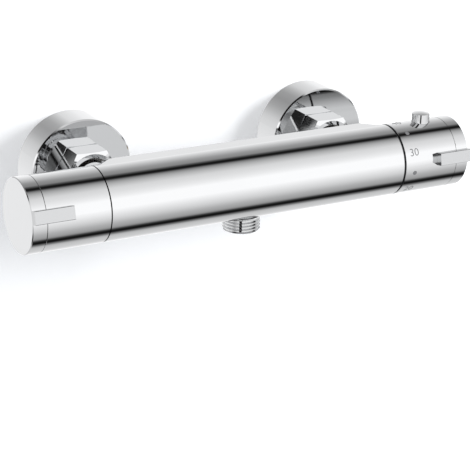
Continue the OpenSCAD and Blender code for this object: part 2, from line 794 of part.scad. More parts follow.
module regulating_nut() color("peru") end_frame(1) difference() {
  union() {
    rod(nut_outer_r, nut_from_end, nut_to_end);
    intersection() {
      rod(nut_outer_r + key_reach, key_from_end, key_from_end + key_len);
      translate([-key_w / 2, -bar_r, key_from_end]) cube([key_w, bar_d, key_len]);
    }
  }
  rod(spindle_r + fit, nut_from_end, nut_to_end + cut);
  rod(nut_outer_r - cup_wall, nut_from_end - cut, nut_to_end - nut_thread_len);
}

module overload_plunger() color("peru") end_frame(1)
  rod(nut_outer_r - cup_wall - ease, nut_from_end + plunger_gap,
      nut_from_end + plunger_gap + plunger_t);

module overload_spring() color("lightsteelblue") end_frame(1)
  coil(nut_outer_r - cup_wall - part_gap - overload_wire_r, overload_wire_r,
       nut_from_end + plunger_gap + plunger_t + fit, nut_to_end - nut_thread_len - fit,
       overload_turns);

module wax_element() color("darkorange") end_frame(1) difference() {
  union() {
    rod(bulb_r, element_seat - bulb_len, element_seat + fit);
    rod(element_flange_r, element_seat + fit, element_seat + flange_t);
    rod(element_guide_r, element_seat + flange_t - fit, element_seat + flange_t + guide_len);
  }
  rod(piston_r + fit, element_seat + flange_t + guide_len - piston_in - piston_room,
      element_seat + flange_t + guide_len + cut);
}
module wax_piston() color("gray") end_frame(1)
  rod(piston_r, element_seat + flange_t + guide_len - piston_in,
      nut_from_end + plunger_gap - fit);

module mixing_shuttle() color("burlywood") end_frame(1) difference() {
  union() {
    tube(shuttle_bore_r - ease, shuttle_bore_r - ease - shuttle_wall, shuttle_from, shuttle_to);
    rod(shuttle_hub_r, shuttle_hub_from, shuttle_hub_from + shuttle_hub_t);
    for (i = [0:arms - 1]) rotate(i * 360 / arms)
      translate([0, -arm_t / 2, shuttle_hub_from])
        cube([shuttle_bore_r - ease - shuttle_wall / 2, arm_t, shuttle_hub_t]);
  }
  rod(bulb_r + fit, shuttle_hub_from - cut, shuttle_hub_from + shuttle_hub_t + cut);
  translate([0, 0, (shuttle_from + shuttle_to) / 2])
    tube(shuttle_bore_r + cut, shuttle_bore_r - o_ring_squash, -o_ring_w / 2, o_ring_w / 2);
}

module shuttle_o_ring() color("black") end_frame(1)
  o_ring(shuttle_bore_r - o_ring_squash + fit / 2, (o_ring_squash - 2 * fit) / 2,
         (shuttle_from + shuttle_to) / 2);

module return_spring() color("lightsteelblue") end_frame(1)
  coil(hot_seat_r - draft_gap - return_wire_r, return_wire_r,
       sleeve_from + end_wall_t + fit, shuttle_hub_from - fit, return_turns);

// Ceramic headwork

module headwork_body() color("goldenrod") end_frame(-1) union() {
  difference() {
    union() {
      rod(headwork_r, -headwork_thread_len + ease, headwork_hex_from + fit);
      rod(barrel_r, barrel_to, -headwork_thread_len + cut);
      hexagon(headwork_hex_af, headwork_hex_from, headwork_hex_from + headwork_hex_t);
      rod(headwork_neck_r, headwork_hex_from + headwork_hex_t - fit, headwork_neck_to);
    }
    rod(flow_spindle_r + fit, stop_room_from - cut, headwork_neck_to + cut);
    rod(disc_room_r, barrel_to - cut, stop_room_from);
    translate([-bar_r, -driver_w, window_from]) cube([bar_d, 2 * driver_w, side_window_len]);
  }
  sector(stop_block_r + ease, disc_room_r + fit, stop_room_from - stop_room_len,
         stop_room_from + fit, stop_from_turn, stop_block_turn);
}

module headwork_gasket() color("indianred") end_frame(-1)
  tube(headwork_hex_af / 2, headwork_r + fit, spigot_len, headwork_hex_from);

module headwork_spindle() color("goldenrod") end_frame(-1) difference() {
  union() {
    rod(flow_spindle_r, stop_room_from - cut, hub_from - part_gap);
    rod(stop_block_r, driver_to, stop_room_from - fit);
    sector(0, disc_room_r - ease, stop_room_from - stop_room_len, stop_room_from - fit,
           stop_from_turn - stop_clear_turn - lug_turn, lug_turn);
    intersection() {
      rod(disc_room_r - ease, driver_to, driver_to + driver_t);
      translate([-driver_w / 2, -bar_r, driver_to]) cube([driver_w, bar_d, driver_t]);
    }
    intersection() {
      tube(disc_room_r - ease, dog_in_r + ease, driver_to - dog_depth + ease, driver_to + fit);
      translate([-dog_w / 2 + ease, -bar_r, driver_to - dog_depth])
        cube([dog_w - 2 * ease, bar_d, dog_depth + fit]);
    }
    spline(flow_spindle_r, 0, hub_from - part_gap - fit, web_from - spline_end_gap);
  }
  rod(screw_r + fit, web_to - screw_len - cut, web_from);
  translate([0, 0, headwork_gasket_t])
    tube(flow_spindle_r + cut, flow_spindle_r - spline_depth, -spline_depth, spline_depth);
  translate([0, 0, headwork_neck_to + fit]) tube(flow_spindle_r + cut,
    flow_spindle_r - circlip_groove, 0, circlip_t + fit);
}

module headwork_o_ring() color("black") end_frame(-1)
  o_ring(flow_spindle_r - spline_depth + fit / 2, spline_depth / 2, headwork_gasket_t);

module headwork_circlip() color("gray") end_frame(-1)
  sector(flow_spindle_r - circlip_groove + fit, circlip_r,
         headwork_neck_to + ease, headwork_neck_to + circlip_t, circlip_from_turn, circlip_turn);

module dog_slot() intersection() {
  tube(disc_room_r, dog_in_r, driver_to - dog_depth, driver_to + cut);
  translate([-dog_w / 2, -bar_r, driver_to - dog_depth]) cube([dog_w, bar_d, dog_depth + cut]);
}

module disc(r, from, to) difference() {
  rod(r, from, to);
  for (start = [0, half_turn])
    sector(port_in_r, port_out_r, from - cut, to + cut, start - port_turn / 2, port_turn);
}

module ceramic_disc_turning() color("white") end_frame(-1) difference() {
  rotate(90) disc(disc_r, disc_split + fit, driver_to - fit);
  dog_slot();
}
module ceramic_disc_fixed() color("ivory") end_frame(-1)
  disc(disc_room_r - fit, fixed_to, disc_split);
module headwork_seat_seal() color("black") end_frame(-1)
  tube(disc_room_r - fit, port_out_r, -headwork_room_len + fit, fixed_to - fit);

valve_body();
outlet_nipple();
outlet_o_ring();
wall_flange(-1);  // wall_flange_left
wall_flange(1);  // wall_flange_right
eccentric_connector(-1);  // eccentric_connector_left
eccentric_connector(1);  // eccentric_connector_right
union_nut(-1);  // union_nut_left
union_nut(1);  // union_nut_right
union_gasket(-1);  // union_gasket_left
union_gasket(1);  // union_gasket_right
inlet_strainer(-1);  // inlet_strainer_left
inlet_strainer(1);  // inlet_strainer_right
inlet_tail(-1);  // inlet_tail_left
inlet_tail(1);  // inlet_tail_right
tail_o_ring(-1);  // tail_o_ring_left
tail_o_ring(1);  // tail_o_ring_right
check_housing(-1);  // check_housing_left
check_housing(1);  // check_housing_right
check_poppet(-1);  // check_poppet_left
check_poppet(1);  // check_poppet_right
check_spring(-1);  // check_spring_left
check_spring(1);  // check_spring_right
flow_handle_sleeve();
flow_handle_cap();
flow_handle_grip();
flow_handle_screw();
flow_cap_ring();
headwork_body();
headwork_gasket();
headwork_spindle();
headwork_o_ring();
headwork_circlip();
ceramic_disc_turning();
ceramic_disc_fixed();
headwork_seat_seal();
temperature_handle_sleeve();
temperature_handle_cap();
temperature_handle_grip();
temperature_handle_screw();
temperature_cap_ring();
temperature_glide_ring();
temperature_stop_ring();
stop_button();
stop_button_spring();
cartridge_head();
cartridge_sleeve();
cartridge_o_rings();
regulating_spindle();
spindle_o_ring();
regulating_nut();
overload_spring();
overload_plunger();
wax_piston();
wax_element();
mixing_shuttle();
shuttle_o_ring();
return_spring();
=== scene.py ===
import json
import math

import bmesh
import bpy
from mathutils import Matrix, Vector


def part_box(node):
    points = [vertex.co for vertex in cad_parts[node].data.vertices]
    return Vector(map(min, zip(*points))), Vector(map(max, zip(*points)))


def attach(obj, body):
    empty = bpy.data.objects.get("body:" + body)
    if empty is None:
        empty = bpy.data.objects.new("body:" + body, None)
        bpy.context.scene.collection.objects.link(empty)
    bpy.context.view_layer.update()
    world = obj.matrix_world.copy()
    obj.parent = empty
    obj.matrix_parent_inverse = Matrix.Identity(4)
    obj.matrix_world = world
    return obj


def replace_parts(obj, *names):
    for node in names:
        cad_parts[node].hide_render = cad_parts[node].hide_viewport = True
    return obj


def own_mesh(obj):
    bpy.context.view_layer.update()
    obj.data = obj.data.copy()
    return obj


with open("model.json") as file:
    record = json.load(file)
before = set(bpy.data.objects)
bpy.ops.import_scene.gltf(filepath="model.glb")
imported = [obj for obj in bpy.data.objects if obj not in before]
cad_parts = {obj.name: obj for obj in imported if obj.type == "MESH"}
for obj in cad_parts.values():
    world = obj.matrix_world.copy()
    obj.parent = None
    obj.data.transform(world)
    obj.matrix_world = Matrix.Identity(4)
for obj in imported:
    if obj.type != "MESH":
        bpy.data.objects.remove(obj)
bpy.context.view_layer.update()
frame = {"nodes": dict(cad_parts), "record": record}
nodes = frame["nodes"]

MM = 0.001
AXIS_Y, AXIS_Z = -0.068, 0.008        # the bar's axis
BAR_R = 0.020
INLET_X = 0.075                       # each inlet's distance from the middle
SIDES = ((-1, "left"), (1, "right"))

scene = bpy.context.scene
scene.view_settings.view_transform = "Standard"


# ---------------------------------------------------------------- materials

class Mat:
    """A node material around one Principled shader."""

    def __init__(self, name):
        self.m = bpy.data.materials.new(name)
        self.m.use_nodes = True
        self.t = self.m.node_tree
        self.bsdf = self.t.nodes["Principled BSDF"]
        self.coord = self.t.nodes.new("ShaderNodeTexCoord").outputs["Object"]

    def set(self, **values):
        for key, value in values.items():
            self.bsdf.inputs[key.replace("_", " ")].default_value = value
        return self

    def noise(self, scale, detail):
        n = self.t.nodes.new("ShaderNodeTexNoise")
        n.inputs["Scale"].default_value = scale
        n.inputs["Detail"].default_value = detail
        self.t.links.new(self.coord, n.inputs["Vector"])
        return n.outputs["Fac"]

    def remap(self, noise, lo, hi):
        """Stretches a noise value, which lies mostly between 0.3 and 0.7, to lo and hi."""
        r = self.t.nodes.new("ShaderNodeMapRange")
        for key, v in (("From Min", 0.3), ("From Max", 0.7), ("To Min", lo), ("To Max", hi)):
            r.inputs[key].default_value = v
        self.t.links.new(noise, r.inputs["Value"])
        return r.outputs["Result"]

    def ramp(self, value, *stops):
        """A colour ramp of two stops, each a position and a colour."""
        r = self.t.nodes.new("ShaderNodeValToRGB")
        for item, (pos, colour) in zip(r.color_ramp.elements, stops):
            item.position = pos
            item.color = (*colour, 1.0)
        self.t.links.new(value, r.inputs["Fac"])
        return r.outputs["Color"]

    def math(self, op, a, b=0.0):
        n = self.t.nodes.new("ShaderNodeMath")
        n.operation = op
        for i, v in enumerate((a, b)):
            if isinstance(v, (int, float)):
                n.inputs[i].default_value = v
            else:
                self.t.links.new(v, n.inputs[i])
        return n.outputs["Value"]

    def link(self, key, value):
        self.t.links.new(value, self.bsdf.inputs[key])

    def bump(self, height, strength, distance):
        b = self.t.nodes.new("ShaderNodeBump")
        b.inputs["Strength"].default_value = strength
        b.inputs["Distance"].default_value = distance
        self.t.links.new(height, b.inputs["Height"])
        self.t.links.new(b.outputs["Normal"], self.bsdf.inputs["Normal"])
        return self.m


PLATING = (0.695, 0.70, 0.705)        # the colour of polished chrome


def polish(m, rough_lo, rough_hi):
    """The slight unevenness of a plated surface."""
    m.link("Roughness", m.remap(m.noise(140.0, 4.0), rough_lo, rough_hi))
    return m.bump(m.noise(900.0, 2.0), 0.02, 0.00002)


def chrome(name, tone, rough_lo, rough_hi):
    m = Mat(name).set(Metallic=1.0)
    cloud = m.noise(28.0, 2.0)
    m.link("Base Color", m.ramp(cloud, (0.3, tuple(c * 0.985 for c in tone)), (0.7, tone)))
    return polish(m, rough_lo, rough_hi)


def union_chrome():
    """Chrome with painted shade: the plating stops at the mouth of each union nut, and past it a dark base
    colour is painted for the shadow in the recess.
    """
    mouth_r, mouth_y = 0.0122, -0.0329
    m = Mat("chrome_union_painted_shade").set(Metallic=1.0)
    axes = m.t.nodes.new("ShaderNodeSeparateXYZ")
    m.t.links.new(m.coord, axes.inputs["Vector"])
    across = m.math("SUBTRACT", m.math("ABSOLUTE", axes.outputs["X"]), INLET_X)
    up = m.math("SUBTRACT", axes.outputs["Z"], AXIS_Z)
    radius = m.math("SQRT", m.math("ADD", m.math("MULTIPLY", across, across), m.math("MULTIPLY", up, up)))
    # Painted shade: points within the mouth's radius and behind its front get a dark base colour in place
    # of the plating.
    painted_shade_mask = m.math("MULTIPLY", m.math("LESS_THAN", radius, mouth_r),
                    m.math("GREATER_THAN", axes.outputs["Y"], mouth_y))
    plating_with_shade = m.t.nodes.new("ShaderNodeMix")
    plating_with_shade.data_type = "RGBA"
    plating_with_shade.inputs["B"].default_value = (0.16, 0.155, 0.15, 1.0)
    m.t.links.new(painted_shade_mask, plating_with_shade.inputs["Factor"])
    plated = m.ramp(m.noise(28.0, 2.0), (0.3, (0.685, 0.69, 0.695)), (0.7, PLATING))
    m.t.links.new(plated, plating_with_shade.inputs["A"])
    m.link("Base Color", plating_with_shade.outputs["Result"])
    return polish(m, 0.015, 0.04)


def machined(name, dark, light, rough, grain, height):
    m = Mat(name).set(Metallic=1.0)
    m.link("Base Color", m.ramp(m.noise(60.0, 4.0), (0.35, dark), (0.65, light)))
    m.link("Roughness", m.remap(m.noise(grain, 3.0), rough - 0.06, rough + 0.08))
    return m.bump(m.noise(grain * 4, 3.0), 0.3, height)


def moulded(name, dark, light, rough, height=0.00003):
    m = Mat(name)
    m.link("Base Color", m.ramp(m.noise(90.0, 4.0), (0.35, dark), (0.65, light)))
    m.link("Roughness", m.remap(m.noise(300.0, 3.0), rough - 0.05, rough + 0.07))
    return m.bump(m.noise(2500.0, 3.0), 0.35, height)


def ink(name, dark, light):
    m = Mat(name).set(Specular_IOR_Level=0.15)
    m.link("Base Color", m.ramp(m.noise(600.0, 2.0), (0.3, dark), (0.7, light)))
    m.link("Roughness", m.remap(m.noise(900.0, 2.0), 0.5, 0.62))
    return m.m


MATS = {
    "chrome": chrome("chrome_polished", PLATING, 0.015, 0.04),
    "brass": machined("brass_machined", (0.62, 0.45, 0.20), (0.74, 0.56, 0.27), 0.26, 500.0, 0.00003),
    "steel": machined("steel_drawn", (0.52, 0.53, 0.55), (0.64, 0.65, 0.67), 0.24, 700.0, 0.00002),
    "rubber": moulded("rubber_black", (0.012, 0.012, 0.013), (0.03, 0.03, 0.031), 0.6),
    "plastic": moulded("acetal_black", (0.016, 0.016, 0.018), (0.032, 0.032, 0.035), 0.42),
    "fibre": moulded("fibre_red", (0.30, 0.07, 0.04), (0.44, 0.12, 0.07), 0.75, 0.00006),
    "ceramic": moulded("ceramic_white", (0.80, 0.79, 0.75), (0.87, 0.86, 0.83), 0.16, 0.000005),
}
SATIN = chrome("chrome_satin", (0.52, 0.525, 0.53), 0.10, 0.16)
UNION = union_chrome()
INK = ink("dial_ink", (0.15, 0.15, 0.155), (0.19, 0.19, 0.195))
SLOT = {p["node"]: p["material_slot"] for p in frame["record"]["subparts"]}

for name, ob in nodes.items():
    mat = MATS[SLOT[name]]
    if name.endswith("_grip"):
        mat = SATIN
    # Union nuts and inlet tails get the chrome with painted shade in each nut's mouth.
    if name.startswith(("union_nut", "inlet_tail")):
        mat = UNION
    ob.data.materials.clear()
    ob.data.materials.append(mat)


# ---------------------------------------------------------------- helpers for new pieces

SHARP_FROM = math.radians(28)
AROUND = 96                           # points in a full circle
NEAR = 1e-7                           # points closer than this are joined


def piece(name, mesh, mat, body):
    ob = bpy.data.objects.new(name, mesh)
    scene.collection.objects.link(ob)
    mesh.materials.append(mat)
    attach(ob, body)
    return ob


def circle(r, z):
    return [(r * math.cos(2 * math.pi * k / AROUND), r * math.sin(2 * math.pi * k / AROUND), z)
            for k in range(AROUND)]


def rings(*loops):
    """Faces between circles of points, joined in order."""
    n = AROUND
    verts = [p for loop in loops for p in loop]
    faces = [(i + k, i + (k + 1) % n, i + n + (k + 1) % n, i + n + k)
             for i in range(0, n * (len(loops) - 1), n) for k in range(n)]
    return verts, faces


def thread(crest, root, pitch, length, lead_in, run_out):
    """A V thread along +z from 0 to length whose rows of points follow the helix; its start is bevelled."""
    wave = ((0.0, 0.0), (0.14, 0.0), (0.42, 1.0), (0.58, 1.0), (0.86, 0.0))   # shares of pitch and depth
    rows = [(turn + at, high) for turn in range(-1, int(length / pitch) + 2) for at, high in wave]
    verts = []
    for at, high in rows:
        for k in range(AROUND + 1):
            a = 2 * math.pi * k / AROUND
            z = min(max(pitch * (at + k / AROUND), 0.0), length)
            r = min(root + (crest - root) * high, crest - lead_in + z)
            if z < lead_in / 3:
                r += (crest - lead_in + z - r) * (1 - 3 * z / lead_in)
            if z > length - run_out:
                r += (crest - r) * (z - length + run_out) / run_out
            verts.append((r * math.cos(a), r * math.sin(a), z))
    n = AROUND + 1
    faces = [(i + k, i + k + 1, i + n + k + 1, i + n + k)
             for i in range(0, n * (len(rows) - 1), n) for k in range(AROUND)]
    return verts, faces


def part_of(mesh):
    return [tuple(v.co) for v in mesh.vertices], [tuple(p.vertices) for p in mesh.polygons]


def mesh_of(name, *parts):
    """One mesh from several parts of points and faces, joined where their points meet."""
    verts, faces = [], []
    for v, f in parts:
        first = len(verts)
        verts += v
        faces += [tuple(i + first for i in face) for face in f]
    mesh = bpy.data.meshes.new(name)
    mesh.from_pydata(verts, [], faces)
    bm = bmesh.new()
    bm.from_mesh(mesh)
    bmesh.ops.remove_doubles(bm, verts=bm.verts, dist=NEAR)
    bmesh.ops.dissolve_degenerate(bm, edges=bm.edges, dist=NEAR)
    bmesh.ops.recalc_face_normals(bm, faces=bm.faces)
    bm.to_mesh(mesh)
    bm.free()
    mesh.polygons.foreach_set("use_smooth", [True] * len(mesh.polygons))
    mesh.set_sharp_from_angle(angle=SHARP_FROM)
    return mesh


# ---------------------------------------------------------------- hose outlet with its thread

CREST, ROOT, PITCH = 0.01048, 0.00936, 0.001814      # the G 1/2 thread of the outlet and the studs
OUT_Y = AXIS_Y + 0.005
OUT_BORE, OUT_LEN, OUT_TOP = 0.0065, 0.0089, 0.0042
NECK_R = 0.009                                       # the plain neck past each thread

outlet = mesh_of(
    "outlet_thread",
    thread(CREST, ROOT, PITCH, OUT_LEN - 0.0003, 0.0007, 0.0006),
    rings(circle(OUT_BORE + 0.0004, 0.0), circle(CREST - 0.0007, 0.0)),
    rings(circle(OUT_BORE, 0.0004), circle(OUT_BORE + 0.0004, 0.0)),
    rings(circle(OUT_BORE, 0.0004), circle(OUT_BORE, OUT_LEN + OUT_TOP)),
    rings(circle(CREST, OUT_LEN - 0.0003), circle(NECK_R, OUT_LEN - 0.00005),
          circle(NECK_R, OUT_LEN + OUT_TOP), circle(OUT_BORE, OUT_LEN + OUT_TOP)))
outlet.transform(Matrix.Translation((0, OUT_Y, AXIS_Z - BAR_R - OUT_LEN)))
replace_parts(piece("outlet_thread", outlet, MATS["chrome"], "valve"), "outlet_nipple")


# ---------------------------------------------------------------- threaded wall studs

STUD_LEN, STUD_BORE = 0.016, 0.0075
CUT_Y = -0.0012                       # the CAD connector is kept on the room's side of this plane


def connector_block(node):
    """The CAD connector without its stud."""
    bm = bmesh.new()
    bm.from_mesh(nodes[node].data)
    bmesh.ops.remove_doubles(bm, verts=bm.verts, dist=NEAR)
    geom = bm.verts[:] + bm.edges[:] + bm.faces[:]
    bmesh.ops.bisect_plane(bm, geom=geom, plane_co=(0, CUT_Y, 0), plane_no=(0, 1, 0), clear_outer=True)
    block = bpy.data.meshes.new(f"{node}_block")
    bm.to_mesh(block)
    bm.free()
    return part_of(block)


TOWARDS_ROOM = Matrix.Rotation(math.radians(90), 4, "X")
for side, tag in SIDES:
    stud = mesh_of(
        f"stud_{tag}",
        thread(CREST, ROOT, PITCH, STUD_LEN - 0.0006, 0.0008, 0.0008),
        rings(circle(STUD_BORE, 0.0), circle(CREST - 0.0008, 0.0)),
        rings(circle(STUD_BORE, 0.0), circle(STUD_BORE, STUD_LEN + 0.003)),
        rings(circle(CREST, STUD_LEN - 0.0006), circle(NECK_R, STUD_LEN - 0.0002),
              circle(NECK_R, STUD_LEN + 0.0012), circle(0.0110, STUD_LEN + 0.0012)))
    stud.transform(Matrix.Translation((side * INLET_X, STUD_LEN, 0)) @ TOWARDS_ROOM)
    connector = f"eccentric_connector_{tag}"
    joined = mesh_of(f"wall_stud_{tag}", connector_block(connector), part_of(stud))
    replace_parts(piece(f"wall_stud_{tag}", joined, MATS["brass"], "valve"), connector)


# ---------------------------------------------------------------- springs of round wire in place of the CAD springs

def spring(node, centre, axis, r, wire, turns, body, joint=None, fixed=0.0):
    """A round wire coil with closed end turns in place of a CAD spring; centre, sizes and fixed are in mm.

    With a joint, the coil gets a mesh of its own; it does not shorten with the joint.
    """
    lo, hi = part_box(node)
    a = "xyz".index(axis)
    u, v = (i for i in range(3) if i != a)
    start, end = lo[a] / MM + wire, hi[a] / MM - wire
    close = 2.02 * wire               # rise of a closed turn
    steps, around = 32, 10
    count = int(turns * steps)
    verts, faces = [], []
    for i in range(count + 1):
        t = i / steps
        if t < 1:
            along = start + close * t
        elif t > turns - 1:
            along = end - close * (turns - t)
        else:
            along = start + close + (end - start - 2 * close) * (t - 1) / (turns - 2)
        for k in range(around):
            b = 2 * math.pi * k / around
            out_r = r + wire * math.cos(b)
            p = [0.0, 0.0, 0.0]
            p[a] = (along + wire * math.sin(b)) * MM
            p[u] = (centre[u] + out_r * math.cos(2 * math.pi * t)) * MM
            p[v] = (centre[v] + out_r * math.sin(2 * math.pi * t)) * MM
            verts.append(tuple(p))
    for i in range(count):
        for k in range(around):
            q, w = i * around + k, i * around + (k + 1) % around
            faces.append((q, w, w + around, q + around))
    faces += [tuple(range(around)), tuple(count * around + k for k in range(around))]
    ob = piece(f"{node}_coil", mesh_of(f"{node}_coil", (verts, faces)), MATS["steel"], body)
    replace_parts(ob, node)
    if joint:
        way, anchor = [0, 0, 0], [0, 0, 0]
        way[a], anchor[a] = 1, fixed * MM
        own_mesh(ob)


for side, tag in SIDES:
    spring(f"check_spring_{tag}", (side * 75, 0, 8), "y", 2.3, 0.3, 6,
           "valve", f"{tag}_check", -43.45)
spring("stop_button_spring", (111.8, -68, 0), "z", 2.9, 0.3, 7,
       "temperature_control", "stop_button", 16.05)
spring("return_spring", (0, -68, 8), "x", 7.15, 0.65, 6,
       "valve", "wax_stroke", 40.05)
spring("overload_spring", (0, -68, 8), "x", 5.3, 0.5, 4, "set_nut")


# ---------------------------------------------------------------- dial marks on the temperature handle

MARK_X = 0.0964
SKIN = BAR_R + 0.00003                # the marks lie just above the handle
NUMBER_H, DOT_R = 0.0042, 0.00125
CAP_SHARE = 0.70                      # a digit's height as a share of the letter size
LONGEST_EDGE = 0.0006


def dial_angle(degrees):
    """Where the dial shows a water temperature, as an angle above the handle's front."""
    return 26.3 + (degrees - 30) / 5 * 34.2


def wrap(name, flat_mesh, angle):
    """Lays a flat mesh (x right, y up, in metres) on the handle at an angle above its front."""
    bm = bmesh.new()
    bm.from_mesh(flat_mesh)
    bmesh.ops.triangulate(bm, faces=bm.faces)
    for _ in range(2):
        long_edges = [e for e in bm.edges if e.calc_length() > LONGEST_EDGE]
        if not long_edges:
            break
        bmesh.ops.subdivide_edges(bm, edges=long_edges, cuts=1)
        bmesh.ops.triangulate(bm, faces=bm.faces)
    for v in bm.verts:
        a = math.radians(angle) + v.co.y / BAR_R
        v.co = Vector((MARK_X + v.co.x, AXIS_Y - SKIN * math.cos(a), AXIS_Z + SKIN * math.sin(a)))
    mesh = bpy.data.meshes.new(name)
    bm.to_mesh(mesh)
    bm.free()
    bpy.data.meshes.remove(flat_mesh)
    piece(name, mesh, INK, "temperature_control")


def text_mesh(name, text, height):
    """Flat letters of a given height, centred on their own box."""
    curve = bpy.data.curves.new(name, "FONT")
    curve.body = text
    curve.align_x, curve.align_y = "CENTER", "CENTER"
    curve.size = height / CAP_SHARE
    curve.offset = -height * 0.012    # slightly thinner strokes
    ob = bpy.data.objects.new(name + "_text", curve)
    scene.collection.objects.link(ob)
    bpy.context.view_layer.update()
    mesh = bpy.data.meshes.new_from_object(ob.evaluated_get(bpy.context.evaluated_depsgraph_get()))
    bpy.data.objects.remove(ob)
    xs = [v.co.x for v in mesh.vertices]
    ys = [v.co.y for v in mesh.vertices]
    mid = Vector(((min(xs) + max(xs)) / 2, (min(ys) + max(ys)) / 2, 0))
    k = height / (max(ys) - min(ys))
    for v in mesh.vertices:
        v.co = (v.co - mid) * k
    return mesh


def dot_mesh(name):
    bm = bmesh.new()
    bmesh.ops.create_circle(bm, cap_ends=True, cap_tris=True, segments=28, radius=DOT_R)
    mesh = bpy.data.meshes.new(name)
    bm.to_mesh(mesh)
    bm.free()
    return mesh


for number in (20, 30, 40, 50):
    wrap(f"dial_{number}", text_mesh(f"dial_{number}", str(number), NUMBER_H), dial_angle(number))
for half in (25, 35, 45):
    wrap(f"dial_dot_{half}", dot_mesh(f"dial_dot_{half}"), dial_angle(half))


# ---------------------------------------------------------------- the studio's light

def srgb(v):
    c = v / 255.0
    return c / 12.92 if c <= 0.04045 else ((c + 0.055) / 1.055) ** 2.4


world = bpy.data.worlds.new("studio")
scene.world = world
world.use_nodes = True
wt = world.node_tree
wt.nodes.clear()
coord = wt.nodes.new("ShaderNodeTexCoord")
sep = wt.nodes.new("ShaderNodeSeparateXYZ")
wt.links.new(coord.outputs["Generated"], sep.inputs["Vector"])
sky_x, sky_y, sky_z = (sep.outputs[axis] for axis in "XYZ")      # the direction that is looked up


def wset(value, socket):
    """Gives a socket a constant or another socket's output."""
    if isinstance(value, (int, float, tuple)):
        socket.default_value = value
    else:
        wt.links.new(value, socket)


def wmath(op, a, b=None):
    n = wt.nodes.new("ShaderNodeMath")
    n.operation = op
    wset(a, n.inputs[0])
    if b is not None:
        wset(b, n.inputs[1])
    return n.outputs["Value"]


def winv(value):
    return wmath("SUBTRACT", 1.0, value)


def wtimes(first, *others):
    for value in others:
        first = wmath("MULTIPLY", first, value)
    return first


def wstep(value, lo, hi):
    """A soft step from 0 at lo to 1 at hi."""
    r = wt.nodes.new("ShaderNodeMapRange")
    r.interpolation_type = "SMOOTHSTEP"
    r.inputs["From Min"].default_value = lo
    r.inputs["From Max"].default_value = hi
    wt.links.new(value, r.inputs["Value"])
    return r.outputs["Result"]


def wstep_deg(angle, lo, hi):
    return wstep(angle, math.radians(lo), math.radians(hi))


def wband(value, rise_from, rise_to, fall_from, fall_to):
    """1 between rise_to and fall_from, 0 further out, with soft edges."""
    return wtimes(wstep(value, rise_from, rise_to), winv(wstep(value, fall_from, fall_to)))


def off_by(angle, degrees):
    return wmath("ABSOLUTE", wmath("SUBTRACT", angle, math.radians(degrees)))


def wramp(angle, stops, tint=1.0):
    """A colour ramp over an angle in radians, with its stops in degrees."""
    node = wt.nodes.new("ShaderNodeValToRGB")
    wt.links.new(wmath("ADD", wmath("DIVIDE", angle, 2 * math.pi), 0.5), node.inputs["Fac"])
    e = node.color_ramp.elements
    while len(e) < len(stops):
        e.new(0.5)
    for item, (deg, level) in zip(e, stops):
        item.position = (deg + 180) / 360
        item.color = (level, level, level * tint, 1)
    return node.outputs["Color"]


def wmix(factor, a, b):
    """The colour a where factor is 0 and b where it is 1."""
    n = wt.nodes.new("ShaderNodeMix")
    n.data_type = "RGBA"
    wset(factor, n.inputs["Factor"])
    wset(a, n.inputs["A"])
    wset(b, n.inputs["B"])
    return n.outputs["Result"]


def wscale(colour, factor):
    n = wt.nodes.new("ShaderNodeVectorMath")
    n.operation = "SCALE"
    wt.links.new(colour, n.inputs[0])
    wt.links.new(factor, n.inputs["Scale"])
    return n.outputs["Vector"]


def wtint(a, b):
    n = wt.nodes.new("ShaderNodeVectorMath")
    n.operation = "MULTIPLY"
    wt.links.new(a, n.inputs[0])
    wt.links.new(b, n.inputs[1])
    return n.outputs["Vector"]


def wlight(colour, strength):
    n = wt.nodes.new("ShaderNodeBackground")
    wset(colour, n.inputs["Color"])
    n.inputs["Strength"].default_value = strength
    return n.outputs[0]


def wchoose(factor, a, b):
    """The light a where factor is 0 and b where it is 1."""
    n = wt.nodes.new("ShaderNodeMixShader")
    wt.links.new(factor, n.inputs["Fac"])
    wt.links.new(a, n.inputs[1])
    wt.links.new(b, n.inputs[2])
    return n.outputs[0]


# Long soft boxes and two black cards run along the bar, so the light depends on the angle
# about X: 0 is the room's side, 90 is up, 180 is the wall's side, -90 is down.
BANDS = [
    (-180, 236), (-150, 238), (-135, 222), (-120, 203), (-100, 195), (-93, 180), (-86, 122),
    (-79, 38), (-75, 14), (-71, 24), (-66, 66), (-61, 135), (-57, 156), (-45, 176), (-30, 210),
    (-15, 233), (0, 254), (27, 254), (38, 238), (50, 225), (62, 215), (72, 191), (80, 166),
    (86, 134), (92, 44), (96, 14), (100, 34), (105, 84), (110, 134), (122, 152), (150, 211), (165, 232),
]
to_room = wmath("MULTIPLY", sky_y, -1.0)
about_x = wmath("ARCTAN2", sky_z, to_room)
light = wramp(about_x, [(deg, srgb(level)) for deg, level in BANDS], 1.005)

# The bands run together at the ends of the bar's axis, so a plain light takes over there.
light = wmix(wstep(wmath("ABSOLUTE", sky_x), 0.86, 0.95), light, (0.68, 0.68, 0.685, 1))

# Two short cards stand upright, 30 degrees to the left: a low black one and one a little above
# the level, which is grey with a black part and, further left, black with a bright line in it.
aside = wmath("ARCTAN2", sky_x, to_room)
upright = winv(wstep_deg(off_by(aside, -30), 7.0, 10.5))
low = wband(sky_z, -0.52, -0.46, -0.27, -0.21)
level = wband(sky_z, 0.06, 0.12, 0.34, 0.40)
black = wmath("MAXIMUM", wstep_deg(aside, -28.8, -28.3), winv(wstep_deg(aside, -31.2, -30.4)))
line = winv(wstep_deg(off_by(aside, -32.75), 0.07, 0.16))
depth = wmath("SUBTRACT", wmath("ADD", wtimes(black, 0.36), 0.62), wtimes(line, 0.85))
clear = winv(wtimes(upright, wmath("MAXIMUM", low, wtimes(level, depth))))

